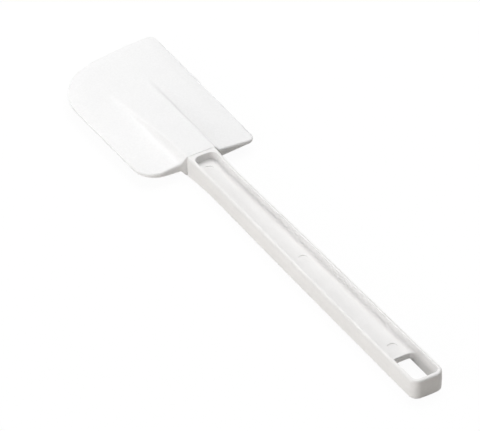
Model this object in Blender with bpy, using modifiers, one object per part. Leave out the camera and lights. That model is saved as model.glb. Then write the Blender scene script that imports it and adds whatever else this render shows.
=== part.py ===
"""Rubber spatula: a moulded plastic handle and the rubber blade pushed onto its tang.

Metres, +Z up. The spatula lies flat, blade tip toward -X and hanging hole toward +X.
The origin is at the centre of the bounding box, at the level of the surface it lies on.
The pieces are drawn around the handle's own axis and moved across at the end, because
the blade reaches further out on its far side.
The rubber blade is one moulding. It is cut at one line across it, where it bends,
into the blade root around the tang and the blade tip.
"""

from math import copysign, cos, hypot, pi, radians, sin, sqrt, tan

import bmesh
import bpy
from mathutils import Vector

# Overall
OVERALL_LENGTH = 0.3430
BLADE_LENGTH = 0.1143
SEAM_GAP = 0.0003

# Handle section, seen from above and from the side
HEEL_WIDTH = 0.0190
NECK_WIDTH = 0.0172
BUTT_WIDTH = 0.0202
HEEL_THICKNESS = 0.0132
NECK_THICKNESS = 0.0119
BUTT_THICKNESS = 0.0124
NECK_DISTANCE = 0.0280
BUTT_FLARE_LENGTH = 0.0300
BUTT_PAD_LENGTH = 0.0150
BUTT_CORNER_RADIUS = 0.0048
HANDLE_EDGE_RADIUS = 0.0010
HANDLE_SIDE_DRAFT = radians(1.5)

# Channel along both faces, and the web between them
RIM_WIDTH = 0.0020
BUTT_RIM_WIDTH = 0.0025
WEB_THICKNESS = 0.0036
CHANNEL_END_WALL = 0.0025
CHANNEL_SIDE_DRAFT = radians(3.0)
CHANNEL_END_DRAFT = radians(12.0)
CHANNEL_CORNER_RADIUS = 0.0045
CHANNEL_FLOOR_RADIUS = 0.0012

# Hanging hole through the web
HOLE_LENGTH = 0.0244
HOLE_SHUTOFF = 0.0004
HOLE_CORNER_RADIUS = 0.0028

# Tang inside the rubber
TANG_LENGTH = 0.0550
TANG_WIDTH = 0.0120
TANG_END_WIDTH = 0.0100
TANG_THICKNESS = 0.0046
TANG_END_THICKNESS = 0.0034
TANG_ROOT_OVERLAP = 0.0012
TANG_EDGE_RADIUS = 0.0008
SOCKET_CLEARANCE = 0.0003

# Blade outline, seen from above; each edge's reach is measured from the handle's axis
BLADE_NEAR_REACH = 0.0359
BLADE_FAR_REACH = 0.0359
BLADE_FAR_FLARE = 0.0020
HEEL_SMALL_RADIUS = 0.0045
HEEL_LARGE_RADIUS = 0.0128
TIP_SMALL_RADIUS = 0.0024
TIP_LARGE_RADIUS = 0.0362
TIP_CROWN_RADIUS = 0.1740
TIP_CROWN_OFFSET = 0.0333

# Blade thickness, each value a half measured from the mid plane
HUB_HALF_WIDTH = 0.0090
HUB_TIP_HALF_WIDTH = 0.0118
HUB_HALF_THICKNESS = 0.0066
HUB_FLAT_LENGTH = 0.0200
HUB_LENGTH = 0.0780
HUB_FILLET = 0.0048
WING_ROOT_HALF = 0.0034
WING_MIDDLE_HALF = 0.0020
WING_TIP_HALF = 0.0013
WING_SHOULDER_HALF = 0.0011
WING_HEEL_HALF = 0.0010
BLADE_EDGE_HALF = 0.0006
BLADE_BEVEL_WIDTH = 0.0060
BLADE_BEVEL_LENGTH = 0.0250
HEEL_DRAFT = radians(5.0)

# Line where the blade bends
FLEX_DISTANCE = 0.0700
KNUCKLE_RADIUS = 0.0038
KNUCKLE_GAP = 0.0003

# Fineness of the meshes
HANDLE_STATIONS = 16
ROUND_SEGMENTS = 5
EDGE_SEGMENTS = 2
BLADE_ROWS = 18
HEEL_ROWS = 6
TIP_ROWS = 4
HUB_COLUMNS = 4
FILLET_COLUMNS = 4
WING_COLUMNS = 7
BEVEL_COLUMNS = 4
OUTLINE_POINTS = 9
KNUCKLE_SEGMENTS = 32
SHARP_ANGLE = radians(35)
CORNER_ANGLE = radians(40)
MERGE = 0.00001
CUT_MARGIN = 0.0020

# Places that follow from the sizes above
TIP_X = -OVERALL_LENGTH / 2
BUTT_X = OVERALL_LENGTH / 2
HEEL_X = TIP_X + BLADE_LENGTH
HANDLE_X = HEEL_X + SEAM_GAP
HANDLE_LENGTH = BUTT_X - HANDLE_X
PAD_X = BUTT_X - BUTT_PAD_LENGTH
MID_Z = max(HUB_HALF_THICKNESS, HEEL_THICKNESS / 2, BUTT_THICKNESS / 2)
AXIS_Y = (BLADE_NEAR_REACH - BLADE_FAR_REACH - BLADE_FAR_FLARE) / 2
WIDEST_REACH = max(BLADE_NEAR_REACH, BLADE_FAR_REACH + BLADE_FAR_FLARE)
FLEX_X = HEEL_X - FLEX_DISTANCE
HOLE_END_X = BUTT_X - BUTT_RIM_WIDTH - HOLE_SHUTOFF
HOLE_START_X = HOLE_END_X - HOLE_LENGTH


def clear_scene():
    """Removes whatever the opening scene holds."""
    for item in list(bpy.data.objects):
        bpy.data.objects.remove(item, do_unlink=True)


def new_collection(name):
    """A collection linked to the scene."""
    collection = bpy.data.collections.new(name)
    bpy.context.scene.collection.children.link(collection)
    return collection


def plastic_material(name, colour, roughness):
    """An opaque, non-metallic surface."""
    material = bpy.data.materials.new(name)
    material.use_nodes = True
    shader = material.node_tree.nodes["Principled BSDF"]
    shader.inputs["Base Color"].default_value = (*colour, 1.0)
    shader.inputs["Roughness"].default_value = roughness
    shader.inputs["Metallic"].default_value = 0.0
    return material


def mesh_object(bm, name, collection, origin):
    """An object of the finished mesh, with its origin at the given place."""
    bmesh.ops.translate(bm, verts=bm.verts, vec=-Vector(origin))
    mesh = bpy.data.meshes.new(name)
    bm.to_mesh(mesh)
    bm.free()
    mesh.shade_smooth()
    mesh.set_sharp_from_angle(angle=SHARP_ANGLE)
    item = bpy.data.objects.new(name, mesh)
    item.location = origin
    collection.objects.link(item)
    return item


def as_cutter(item):
    """Marks an object as a tool that only cuts others."""
    item.display_type = "WIRE"
    item.hide_render = True
    return item


def boolean(item, cutter, operation):
    """Adds one cut or join to an object."""
    modifier = item.modifiers.new(operation.lower() + "_" + cutter.name, "BOOLEAN")
    modifier.operation = operation
    modifier.object = cutter
    modifier.solver = "EXACT"


def smooth_step(value):
    """A soft ramp from 0 to 1."""
    value = min(1.0, max(0.0, value))
    return value * value * (3.0 - 2.0 * value)


def spread(first, last, count):
    """Evenly spaced values, both ends included."""
    return [first + (last - first) * i / (count - 1) for i in range(count)]


def heel_flare(x):
    """How much of the flare toward the blade is left at a place along the handle."""
    return max(0.0, 1.0 - (x - HANDLE_X) / NECK_DISTANCE) ** 2


def handle_half_width(x):
    """Half the handle's width: flared at the heel, slim at the neck, wider at the butt."""
    along = max(0.0, (x - HANDLE_X - NECK_DISTANCE) / (HANDLE_LENGTH - NECK_DISTANCE))
    width = NECK_WIDTH + (BUTT_WIDTH - NECK_WIDTH) * (1.0 - (1.0 - along) ** 2)
    return (width + (HEEL_WIDTH - NECK_WIDTH) * heel_flare(x)) / 2


def handle_half_thickness(x):
    """Half the handle's thickness, with a low flare at each end and a level pad at the butt."""
    butt_flare = smooth_step((x - PAD_X + BUTT_FLARE_LENGTH) / BUTT_FLARE_LENGTH)
    thickness = NECK_THICKNESS + (BUTT_THICKNESS - NECK_THICKNESS) * butt_flare
    return (thickness + (HEEL_THICKNESS - NECK_THICKNESS) * heel_flare(x)) / 2


def station_block(stations, levels):
    """A cube cut at each station along X and at each inner level along Z, between -1 and 1 across."""
    bm = bmesh.new()
    bmesh.ops.create_cube(bm, size=2.0)
    first = stations[0]
    last = stations[-1]
    for vertex in bm.verts:
        vertex.co.x = first if vertex.co.x < 0 else last
        vertex.co.z = levels[0] if vertex.co.z < 0 else levels[-1]
    for x in stations[1:-1]:
        bmesh.ops.bisect_plane(bm, geom=bm.verts[:] + bm.edges[:] + bm.faces[:],
                               plane_co=(x, 0, 0), plane_no=(1, 0, 0))
    for z in levels[1:-1]:
        bmesh.ops.bisect_plane(bm, geom=bm.verts[:] + bm.edges[:] + bm.faces[:],
                               plane_co=(0, 0, z), plane_no=(0, 0, 1))
    return bm


def upright_edges(bm, x):
    """The edges that stand at the four corners of a block's end."""
    def stands_there(edge):
        a, b = (vertex.co for vertex in edge.verts)
        turned = edge.calc_face_angle(0.0) > CORNER_ANGLE
        return turned and abs(a.z - b.z) > MERGE and abs((a.x + b.x) / 2 - x) < CUT_MARGIN
    return [edge for edge in bm.edges if stands_there(edge)]


def level_edges(bm, keep):
    """The turned edges that lie level and whose middle the given test keeps."""
    def kept(edge):
        a, b = (vertex.co for vertex in edge.verts)
        level = abs(a.z - b.z) < 0.5 * (a - b).length
        return level and edge.calc_face_angle(0.0) > CORNER_ANGLE and keep((a + b) / 2)
    return [edge for edge in bm.edges if kept(edge)]


def round_edges(bm, edges, radius, segments):
    """Rounds the given edges."""
    bmesh.ops.bevel(bm, geom=edges, offset=radius, offset_type="OFFSET", affect="EDGES",
                    segments=segments, profile=0.5, clamp_overlap=True)


def handle_block(collection):
    """The handle's outside: a flared bar with a parting line at mid thickness and a rounded butt."""
    bm = station_block(spread(HANDLE_X, PAD_X, HANDLE_STATIONS) + [BUTT_X], [-1.0, 0.0, 1.0])
    for vertex in bm.verts:
        x = vertex.co.x
        half = handle_half_thickness(x)
        narrowed = abs(vertex.co.z) * half * tan(HANDLE_SIDE_DRAFT)
        vertex.co.y = copysign(handle_half_width(x) - narrowed, vertex.co.y)
        vertex.co.z = MID_Z + vertex.co.z * half
    round_edges(bm, upright_edges(bm, BUTT_X), BUTT_CORNER_RADIUS, ROUND_SEGMENTS)
    def on_outside(middle):
        return middle.x > HANDLE_X + MERGE and abs(middle.z - MID_Z) > WEB_THICKNESS
    round_edges(bm, level_edges(bm, on_outside), HANDLE_EDGE_RADIUS, EDGE_SEGMENTS)
    return mesh_object(bm, "handle", collection, (HANDLE_X, 0.0, MID_Z))


def channel_cutter(side, collection):
    """The channel in one face, with drafted walls and ends and a rounded floor."""
    first = HANDLE_X + CHANNEL_END_WALL
    last = BUTT_X - BUTT_RIM_WIDTH
    floor = WEB_THICKNESS / 2
    bm = station_block(spread(first, PAD_X, HANDLE_STATIONS) + [last], [0.0, 1.0])
    for vertex in bm.verts:
        x = vertex.co.x
        top = handle_half_thickness(x)
        height = top + CUT_MARGIN if vertex.co.z > 0.5 else floor
        half = handle_half_width(x) - RIM_WIDTH - (top - height) * tan(CHANNEL_SIDE_DRAFT)
        vertex.co.y = copysign(half, vertex.co.y)
        vertex.co.z = height
        if abs(x - first) < MERGE:
            vertex.co.x = first + (top - height) * tan(CHANNEL_END_DRAFT)
        elif abs(x - last) < MERGE:
            vertex.co.x = last - (top - height) * tan(CHANNEL_SIDE_DRAFT)
    round_edges(bm, upright_edges(bm, first) + upright_edges(bm, last), CHANNEL_CORNER_RADIUS, ROUND_SEGMENTS)
    bottom = level_edges(bm, lambda middle: middle.z < floor + MERGE)
    round_edges(bm, bottom, CHANNEL_FLOOR_RADIUS, EDGE_SEGMENTS)
    if side < 0:
        bmesh.ops.scale(bm, vec=(1, 1, -1), verts=bm.verts)
        bmesh.ops.reverse_faces(bm, faces=bm.faces)
    bmesh.ops.translate(bm, verts=bm.verts, vec=(0, 0, MID_Z))
    name = "channel_above" if side > 0 else "channel_below"
    return as_cutter(mesh_object(bm, name, collection, (HANDLE_X, 0.0, MID_Z)))


def hole_half_width():
    """Half the hanging hole's width: just inside the channel's floor."""
    depth = handle_half_thickness(HOLE_START_X) - WEB_THICKNESS / 2
    return handle_half_width(HOLE_START_X) - RIM_WIDTH - depth * tan(CHANNEL_SIDE_DRAFT) - HOLE_SHUTOFF


def hole_cutter(collection):
    """The hanging hole: the web is left out at the butt end of the channel."""
    bm = station_block([HOLE_START_X, HOLE_END_X], [-1.0, 1.0])
    for vertex in bm.verts:
        vertex.co.y = copysign(hole_half_width(), vertex.co.y)
        vertex.co.z = MID_Z + vertex.co.z * WEB_THICKNESS
    uprights = upright_edges(bm, HOLE_START_X) + upright_edges(bm, HOLE_END_X)
    round_edges(bm, uprights, HOLE_CORNER_RADIUS, ROUND_SEGMENTS)
    return as_cutter(mesh_object(bm, "hole_cut", collection, (HOLE_START_X, 0.0, MID_Z)))


def tang_shape(grown, name, collection):
    """The tapered tang, or, grown by a clearance, the socket around it."""
    end_x = HEEL_X - TANG_LENGTH - grown
    root_x = HANDLE_X + TANG_ROOT_OVERLAP
    bm = station_block([end_x, root_x], [-1.0, 1.0])
    for vertex in bm.verts:
        at_end = vertex.co.x < HEEL_X - TANG_LENGTH / 2
        width = TANG_END_WIDTH if at_end else TANG_WIDTH
        thickness = TANG_END_THICKNESS if at_end else TANG_THICKNESS
        vertex.co.y = copysign(width / 2 + grown, vertex.co.y)
        vertex.co.z = MID_Z + vertex.co.z * (thickness / 2 + grown)
    lengthwise = [edge for edge in bm.edges if abs(edge.verts[0].co.x - edge.verts[1].co.x) > TANG_LENGTH / 2]
    round_edges(bm, lengthwise, TANG_EDGE_RADIUS, EDGE_SEGMENTS)
    return as_cutter(mesh_object(bm, name, collection, (HEEL_X, 0.0, MID_Z)))


def build_handle(parts, cutters):
    """The handle: block, channels, hanging hole and tang in one moulding."""
    handle = handle_block(parts)
    boolean(handle, channel_cutter(1, cutters), "DIFFERENCE")
    boolean(handle, channel_cutter(-1, cutters), "DIFFERENCE")
    boolean(handle, hole_cutter(cutters), "DIFFERENCE")
    boolean(handle, tang_shape(0.0, "tang", cutters), "UNION")
    handle.data.materials.append(plastic_material("handle_plastic", (0.86, 0.86, 0.84), 0.40))
    return handle


def far_reach(distance):
    """From the handle's axis to the far edge: it widens from the heel up to the large corner."""
    share = min(1.0, distance / (BLADE_LENGTH - TIP_LARGE_RADIUS))
    return BLADE_FAR_REACH + BLADE_FAR_FLARE * share


def crown_distance(y):
    """Distance from the heel to the slightly bowed tip edge."""
    return BLADE_LENGTH - TIP_CROWN_RADIUS + sqrt(TIP_CROWN_RADIUS ** 2 - (y - TIP_CROWN_OFFSET) ** 2)


def large_corner():
    """Centre (distance, y) of the arc that joins the near edge to the tip edge, and its sweep there."""
    y = TIP_LARGE_RADIUS - BLADE_NEAR_REACH
    reach = TIP_CROWN_RADIUS - TIP_LARGE_RADIUS
    distance = BLADE_LENGTH - TIP_CROWN_RADIUS + sqrt(reach ** 2 - (y - TIP_CROWN_OFFSET) ** 2)
    lean = (TIP_CROWN_OFFSET - y) / reach
    return distance, y, lean


def arc_points(centre, radius, start, end):
    """Points (distance, y) on an arc; angle 0 points to the tip and a right angle to +Y."""
    angles = spread(start, end, OUTLINE_POINTS)
    return [(centre[0] + radius * cos(a), centre[1] + radius * sin(a)) for a in angles]


def tip_outline():
    """The outline from the middle of the large corner, over the tip edge, to the far edge."""
    distance, y, lean = large_corner()
    meet = -lean
    corner = arc_points((distance, y), TIP_LARGE_RADIUS, -pi / 4, meet)
    far_y = far_reach(BLADE_LENGTH) - TIP_SMALL_RADIUS
    start_y = y - TIP_LARGE_RADIUS * lean
    crown = [(crown_distance(v), v) for v in spread(start_y, far_y, OUTLINE_POINTS)]
    small_centre = (crown_distance(far_y) - TIP_SMALL_RADIUS, far_y)
    small = arc_points(small_centre, TIP_SMALL_RADIUS, 0.0, pi / 2)
    return corner + crown[1:] + small[1:]


def near_outline():
    """The outline from the heel line along the near edge to the middle of the large corner."""
    distance, y, _ = large_corner()
    heel_y = HEEL_LARGE_RADIUS - BLADE_NEAR_REACH
    heel = arc_points((HEEL_LARGE_RADIUS, heel_y), HEEL_LARGE_RADIUS, -pi, -pi / 2)
    edge = [(d, -BLADE_NEAR_REACH) for d in spread(HEEL_LARGE_RADIUS, distance, OUTLINE_POINTS)]
    corner = arc_points((distance, y), TIP_LARGE_RADIUS, -pi / 2, -pi / 4)
    return heel + edge[1:] + corner[1:]


def far_outline():
    """The outline from the heel line along the far edge to the small corner's end."""
    heel_y = far_reach(0.0) - HEEL_SMALL_RADIUS
    heel = arc_points((HEEL_SMALL_RADIUS, heel_y), HEEL_SMALL_RADIUS, pi, pi / 2)
    last = tip_outline()[-1][0]
    edge = [(d, far_reach(d)) for d in spread(HEEL_SMALL_RADIUS, last, OUTLINE_POINTS)]
    return heel + edge[1:]


def along(points, share):
    """The point at a share of a line's length."""
    steps = [hypot(b[0] - a[0], b[1] - a[1]) for a, b in zip(points, points[1:])]
    left = share * sum(steps)
    for a, b, step in zip(points, points[1:], steps):
        if left <= step:
            part = left / step if step > 0 else 0.0
            return a[0] + (b[0] - a[0]) * part, a[1] + (b[1] - a[1]) * part
        left -= step
    return points[-1]


def edge_distance(point, rim):
    """Shortest distance from a point to the free edge of the blade."""
    best = BLADE_LENGTH
    for a, b in zip(rim, rim[1:]):
        dx, dy = b[0] - a[0], b[1] - a[1]
        length = dx * dx + dy * dy
        share = ((point[0] - a[0]) * dx + (point[1] - a[1]) * dy) / length if length > 0 else 0.0
        share = min(1.0, max(0.0, share))
        best = min(best, hypot(point[0] - a[0] - dx * share, point[1] - a[1] - dy * share))
    return best


def hub_half_width(distance):
    """Half the width of the hub's flat top, which widens toward the tip."""
    return HUB_HALF_WIDTH + (HUB_TIP_HALF_WIDTH - HUB_HALF_WIDTH) * min(1.0, distance / HUB_LENGTH)


def bevel_depth(distance):
    """How much of the bevel along the edge there is: none at the heel, where the wings run out straight."""
    return min(1.0, distance / BLADE_BEVEL_LENGTH)


def hub_foot(distance, y):
    """How much of the hub is left at a place across: all on its flat top, none past its fillet."""
    beside = max(0.0, (abs(y) - hub_half_width(distance)) / HUB_FILLET)
    return max(0.0, 1.0 - beside) ** 2


def wing_half_thickness(distance, y):
    """Half the thickness of a wing, thickest at the hub's foot and the heel."""
    if distance < HUB_LENGTH:
        root = WING_ROOT_HALF + (WING_MIDDLE_HALF - WING_ROOT_HALF) * distance / HUB_LENGTH
    else:
        past = (distance - HUB_LENGTH) / (BLADE_LENGTH - HUB_LENGTH)
        root = WING_MIDDLE_HALF + (WING_TIP_HALF - WING_MIDDLE_HALF) * past
    inner = hub_half_width(distance)
    reach = far_reach(distance) if y > 0 else BLADE_NEAR_REACH
    share = max(0.0, (abs(y) - inner) / (reach - inner))
    shoulder = WING_HEEL_HALF + (WING_SHOULDER_HALF - WING_HEEL_HALF) * bevel_depth(distance)
    return root + (shoulder - root) * min(1.0, share)


def blade_half_thickness(distance, y, rim):
    """Half the blade's thickness at a point of its plan."""
    wing = wing_half_thickness(distance, y)
    bevel = 1.0 - min(1.0, edge_distance((distance, y), rim) / BLADE_BEVEL_WIDTH)
    wing -= (wing - BLADE_EDGE_HALF) * bevel * bevel_depth(distance)
    sloped = max(0.0, (distance - HUB_FLAT_LENGTH) / (HUB_LENGTH - HUB_FLAT_LENGTH))
    hub = HUB_HALF_THICKNESS + (WING_MIDDLE_HALF - HUB_HALF_THICKNESS) * min(1.0, sloped)
    return wing + max(0.0, hub - wing) * hub_foot(distance, y)


def column_shares():
    """Places across the blade, from -1 to 1, that gather at the hub's two walls."""
    inner = HUB_HALF_WIDTH / BLADE_NEAR_REACH
    foot = (HUB_HALF_WIDTH + HUB_FILLET) / BLADE_NEAR_REACH
    bevel = 1.0 - BLADE_BEVEL_WIDTH / BLADE_NEAR_REACH
    half = spread(0.0, inner, HUB_COLUMNS)[1:] + spread(inner, foot, FILLET_COLUMNS)[1:]
    half += spread(foot, bevel, WING_COLUMNS)[1:] + spread(bevel, 1.0, BEVEL_COLUMNS)[1:]
    return [-share for share in reversed(half)] + [0.0] + half


def blade_plan(sides, row, share):
    """The point (distance, y) of the plan at a row from heel to tip and a place across."""
    near = along(sides[0], row)
    far = along(sides[1], row)
    reach = far[1] if share > 0 else -near[1]
    across = (share * reach - near[1]) / (far[1] - near[1])
    point = [near[k] + (far[k] - near[k]) * across for k in (0, 1)]
    end = sides[2]
    on_tip = along(end, across)
    chord = [end[0][k] + (end[-1][k] - end[0][k]) * across for k in (0, 1)]
    bow = row ** 3
    distance = point[0] + (on_tip[0] - chord[0]) * bow
    y = point[1] + (on_tip[1] - chord[1]) * bow
    return distance, y + hub_shift(distance, share, reach)


def hub_shift(distance, share, reach):
    """Moves the inner columns outward as the hub widens, so that they follow its walls."""
    inner = HUB_HALF_WIDTH / BLADE_NEAR_REACH
    foot = (HUB_HALF_WIDTH + HUB_FILLET) / BLADE_NEAR_REACH
    weight = min(1.0, abs(share) / inner, (1.0 - abs(share)) / (1.0 - foot))
    fading = min(1.0, max(0.0, (BLADE_LENGTH - distance) / (BLADE_LENGTH - HUB_LENGTH)))
    missing = hub_half_width(distance) - inner * reach
    return copysign(missing * weight * fading, share)


def row_shares():
    """Rows from heel to tip, close together at the rounded heel corners and at the tip."""
    lead = HEEL_LARGE_RADIUS / BLADE_LENGTH
    tail = 1.0 - BLADE_BEVEL_WIDTH / BLADE_LENGTH
    middle = spread(lead, tail, BLADE_ROWS)
    return spread(0.0, lead, HEEL_ROWS)[:-1] + middle + spread(tail, 1.0, TIP_ROWS)[1:]


def blade_half(name, collection):
    """The upper half of the whole blade, open at the mid plane, with a Mirror that makes the lower.

    The heel faces of the wings lean back from the parting line, as the mould's draft leaves them.
    """
    rows = row_shares()
    columns = column_shares()
    sides = (near_outline(), far_outline(), tip_outline())
    rim = sides[0] + sides[2][1:] + sides[1][-2::-1]
    bm = bmesh.new()
    bmesh.ops.create_grid(bm, x_segments=len(rows) - 1, y_segments=len(columns) - 1, size=1.0)
    for vertex in bm.verts:
        i = round((1.0 - vertex.co.x) / 2 * (len(rows) - 1))
        j = round((vertex.co.y + 1.0) / 2 * (len(columns) - 1))
        distance, y = blade_plan(sides, rows[i], columns[j])
        vertex.co = (HEEL_X - distance, y, MID_Z + blade_half_thickness(distance, y, rim))
    border = [edge for edge in bm.edges if edge.is_boundary]
    skirt = bmesh.ops.extrude_edge_only(bm, edges=border)
    for item in skirt["geom"]:
        if isinstance(item, bmesh.types.BMVert):
            item.co.z = MID_Z
    for vertex in bm.verts:
        if abs(vertex.co.x - HEEL_X) < MERGE:
            vertex.co.x -= (vertex.co.z - MID_Z) * tan(HEEL_DRAFT) * (1.0 - hub_foot(0.0, vertex.co.y))
    bmesh.ops.recalc_face_normals(bm, faces=bm.faces)
    if max(bm.faces, key=lambda face: face.calc_center_median().z).normal.z < 0:
        bmesh.ops.reverse_faces(bm, faces=bm.faces)
    item = mesh_object(bm, name, collection, (HEEL_X, 0.0, MID_Z))
    mirror = item.modifiers.new("lower_half", "MIRROR")
    mirror.use_axis = (False, False, True)
    mirror.merge_threshold = MERGE
    return item


def knuckle(radius, name, collection):
    """A round bar across the blade on the line where it bends."""
    bm = bmesh.new()
    bmesh.ops.create_cone(bm, cap_ends=True, segments=KNUCKLE_SEGMENTS, radius1=radius, radius2=radius,
                          depth=2 * WIDEST_REACH + CUT_MARGIN)
    for vertex in bm.verts:
        vertex.co = Vector((FLEX_X + vertex.co.x, vertex.co.z, MID_Z - vertex.co.y))
    return as_cutter(mesh_object(bm, name, collection, (FLEX_X, 0.0, MID_Z)))


def side_block(first, last, name, collection):
    """A plain block that covers the blade between two places along X."""
    bm = station_block([first, last], [-1.0, 1.0])
    for vertex in bm.verts:
        vertex.co.y = copysign(WIDEST_REACH + 1.5 * CUT_MARGIN, vertex.co.y)
        vertex.co.z = MID_Z + vertex.co.z * (HUB_HALF_THICKNESS + CUT_MARGIN)
    return as_cutter(mesh_object(bm, name, collection, (FLEX_X, 0.0, MID_Z)))


def build_blade(parts, cutters):
    """The blade root with its socket and hollow knuckle, and the blade tip with its round end."""
    rubber = plastic_material("blade_rubber", (0.90, 0.90, 0.89), 0.55)
    root = blade_half("blade_root", parts)
    boolean(root, tang_shape(SOCKET_CLEARANCE, "socket", cutters), "DIFFERENCE")
    boolean(root, knuckle(KNUCKLE_RADIUS + KNUCKLE_GAP, "knuckle_hollow", cutters), "DIFFERENCE")
    boolean(root, side_block(TIP_X - CUT_MARGIN, FLEX_X, "beyond_flex", cutters), "DIFFERENCE")
    tip = blade_half("blade_tip", parts)
    toward_handle = side_block(FLEX_X, HEEL_X + CUT_MARGIN, "before_flex", cutters)
    boolean(toward_handle, knuckle(KNUCKLE_RADIUS, "knuckle_round", cutters), "DIFFERENCE")
    boolean(tip, toward_handle, "DIFFERENCE")
    move_origin(tip, Vector((FLEX_X, 0.0, MID_Z)))
    for item in (root, tip):
        item.data.materials.append(rubber)


def move_origin(item, place):
    """Puts an object's origin on its joint axis and leaves its shape where it is."""
    shift = place - item.location
    for vertex in item.data.vertices:
        vertex.co -= shift
    item.location = place


def centre_on_origin():
    """Moves everything across, so that the bounding box is centred on the origin."""
    for item in bpy.data.objects:
        item.location.y += AXIS_Y


def main():
    clear_scene()
    parts = new_collection("rubber_spatula")
    cutters = new_collection("cutters")
    build_handle(parts, cutters)
    build_blade(parts, cutters)
    centre_on_origin()


main()
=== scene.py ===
# %% [markdown]
# # A rubber spatula, built as it is made
# The real object is two mouldings. A stiff white plastic handle ends in a tang, and a soft
# white rubber blade is pushed onto that tang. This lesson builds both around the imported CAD
# frame, gives each its own moulded finish, and lights them on a plain white floor.
# Everything is in metres. The spatula lies flat: blade tip toward -X, hanging hole toward +X.
# The near side, toward -Y, is the one with the blade's large corner.

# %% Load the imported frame
from math import cos, hypot, radians, sin, sqrt, tan

import bmesh
import bpy
from mathutils import Euler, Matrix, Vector
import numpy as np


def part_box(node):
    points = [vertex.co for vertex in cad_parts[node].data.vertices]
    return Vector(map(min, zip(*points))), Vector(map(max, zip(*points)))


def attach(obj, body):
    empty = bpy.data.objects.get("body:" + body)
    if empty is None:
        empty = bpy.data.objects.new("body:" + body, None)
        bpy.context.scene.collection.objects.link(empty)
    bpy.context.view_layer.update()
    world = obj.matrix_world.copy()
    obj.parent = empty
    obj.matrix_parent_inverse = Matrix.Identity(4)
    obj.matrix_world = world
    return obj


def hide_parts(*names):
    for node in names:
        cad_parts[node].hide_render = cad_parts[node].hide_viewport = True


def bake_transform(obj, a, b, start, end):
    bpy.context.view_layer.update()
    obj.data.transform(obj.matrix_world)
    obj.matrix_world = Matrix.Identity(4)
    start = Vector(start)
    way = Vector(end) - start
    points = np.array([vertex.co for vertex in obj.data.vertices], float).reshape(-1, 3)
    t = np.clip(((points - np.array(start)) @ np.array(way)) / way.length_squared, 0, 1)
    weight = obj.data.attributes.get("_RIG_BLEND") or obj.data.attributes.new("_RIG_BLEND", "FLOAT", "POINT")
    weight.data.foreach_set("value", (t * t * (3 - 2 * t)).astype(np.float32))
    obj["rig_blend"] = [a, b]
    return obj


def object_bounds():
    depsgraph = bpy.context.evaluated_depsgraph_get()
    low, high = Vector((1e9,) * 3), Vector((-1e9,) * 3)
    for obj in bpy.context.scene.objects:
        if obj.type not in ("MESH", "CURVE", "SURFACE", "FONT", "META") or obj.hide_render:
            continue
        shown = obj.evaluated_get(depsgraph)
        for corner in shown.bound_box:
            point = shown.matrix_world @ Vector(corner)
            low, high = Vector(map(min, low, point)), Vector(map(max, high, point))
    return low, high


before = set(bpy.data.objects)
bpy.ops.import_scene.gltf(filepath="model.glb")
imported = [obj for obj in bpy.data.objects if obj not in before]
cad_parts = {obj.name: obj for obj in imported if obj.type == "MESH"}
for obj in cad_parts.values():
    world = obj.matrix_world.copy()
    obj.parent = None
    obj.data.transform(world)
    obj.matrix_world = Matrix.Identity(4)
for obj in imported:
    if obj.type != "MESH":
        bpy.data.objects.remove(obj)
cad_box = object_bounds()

print("CAD box:", [[round(value, 4) for value in corner] for corner in cad_box])

# %% [markdown]
# ## Where things are
# The frame says where each node is, so the two ends, the handle's axis and the parting plane
# are read from it. The blade's length is given.
# Both mouldings are the same above and below one flat plane, the parting plane of the mould.
# Heights are measured from that plane, and each piece is modelled as its upper half and then
# mirrored, which keeps both faces alike. Places across are measured from the handle's axis,
# which lies a little to the near side of the middle, because the blade reaches further out
# on its far side.

# %% Places along the spatula
handle_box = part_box("handle")
BUTT_X = cad_box[1].x
TIP_X = cad_box[0].x
BLADE_LENGTH = 0.1143
SEAM_GAP = 0.0003
HEEL_X = TIP_X + BLADE_LENGTH
HANDLE_X = HEEL_X + SEAM_GAP
PARTING_Z = (handle_box[0].z + handle_box[1].z) / 2
AXIS_Y = (handle_box[0].y + handle_box[1].y) / 2
MERGE = 0.00001
print("heel at", round(HEEL_X, 4), "parting plane at", round(PARTING_Z, 4))

# %% [markdown]
# ## Helpers for working by hand in code
# A modeller clicks on faces and edges. Here a small test picks them by place or direction
# instead, and then the ordinary edit mode tools act on the selection.

# %% Selecting and editing
X, Y, Z = 0, 1, 2
CENTRE = (0.0, 0.0, PARTING_Z)


def make_active(item):
    """Selects one object alone and makes it the active one."""
    bpy.ops.object.select_all(action="DESELECT")
    item.select_set(True)
    bpy.context.view_layer.objects.active = item


def start_editing(item):
    """Opens one object in edit mode with nothing selected."""
    make_active(item)
    bpy.ops.object.mode_set(mode="EDIT")
    bpy.ops.mesh.select_all(action="DESELECT")


def stop_editing():
    bpy.ops.object.mode_set(mode="OBJECT")


def edited_mesh():
    """The mesh that is open in edit mode."""
    return bmesh.from_edit_mesh(bpy.context.edit_object.data)


def pick(kind, test):
    """Selects only the VERT, EDGE or FACE parts that the test keeps, and returns how many."""
    bpy.ops.mesh.select_mode(type=kind)
    bpy.ops.mesh.select_all(action="DESELECT")
    mesh = edited_mesh()
    parts = {"VERT": mesh.verts, "EDGE": mesh.edges, "FACE": mesh.faces}[kind]
    found = [part for part in parts if test(part)]
    for part in found:
        part.select_set(True)
    mesh.select_flush_mode()
    bmesh.update_edit_mesh(bpy.context.edit_object.data)
    return len(found)


def pick_all():
    bpy.ops.mesh.select_all(action="SELECT")


def pick_at(x, tolerance=MERGE):
    """Selects the points at one place along the spatula."""
    pick("VERT", lambda vertex: abs(vertex.co.x - x) < tolerance)


def narrow_picked(test):
    """Leaves only those points selected that pass the test."""
    bpy.ops.mesh.select_mode(type="VERT")
    mesh = edited_mesh()
    for vertex in mesh.verts:
        if vertex.select and not test(vertex):
            vertex.select_set(False)
    mesh.select_flush_mode()
    bmesh.update_edit_mesh(bpy.context.edit_object.data)


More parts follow.
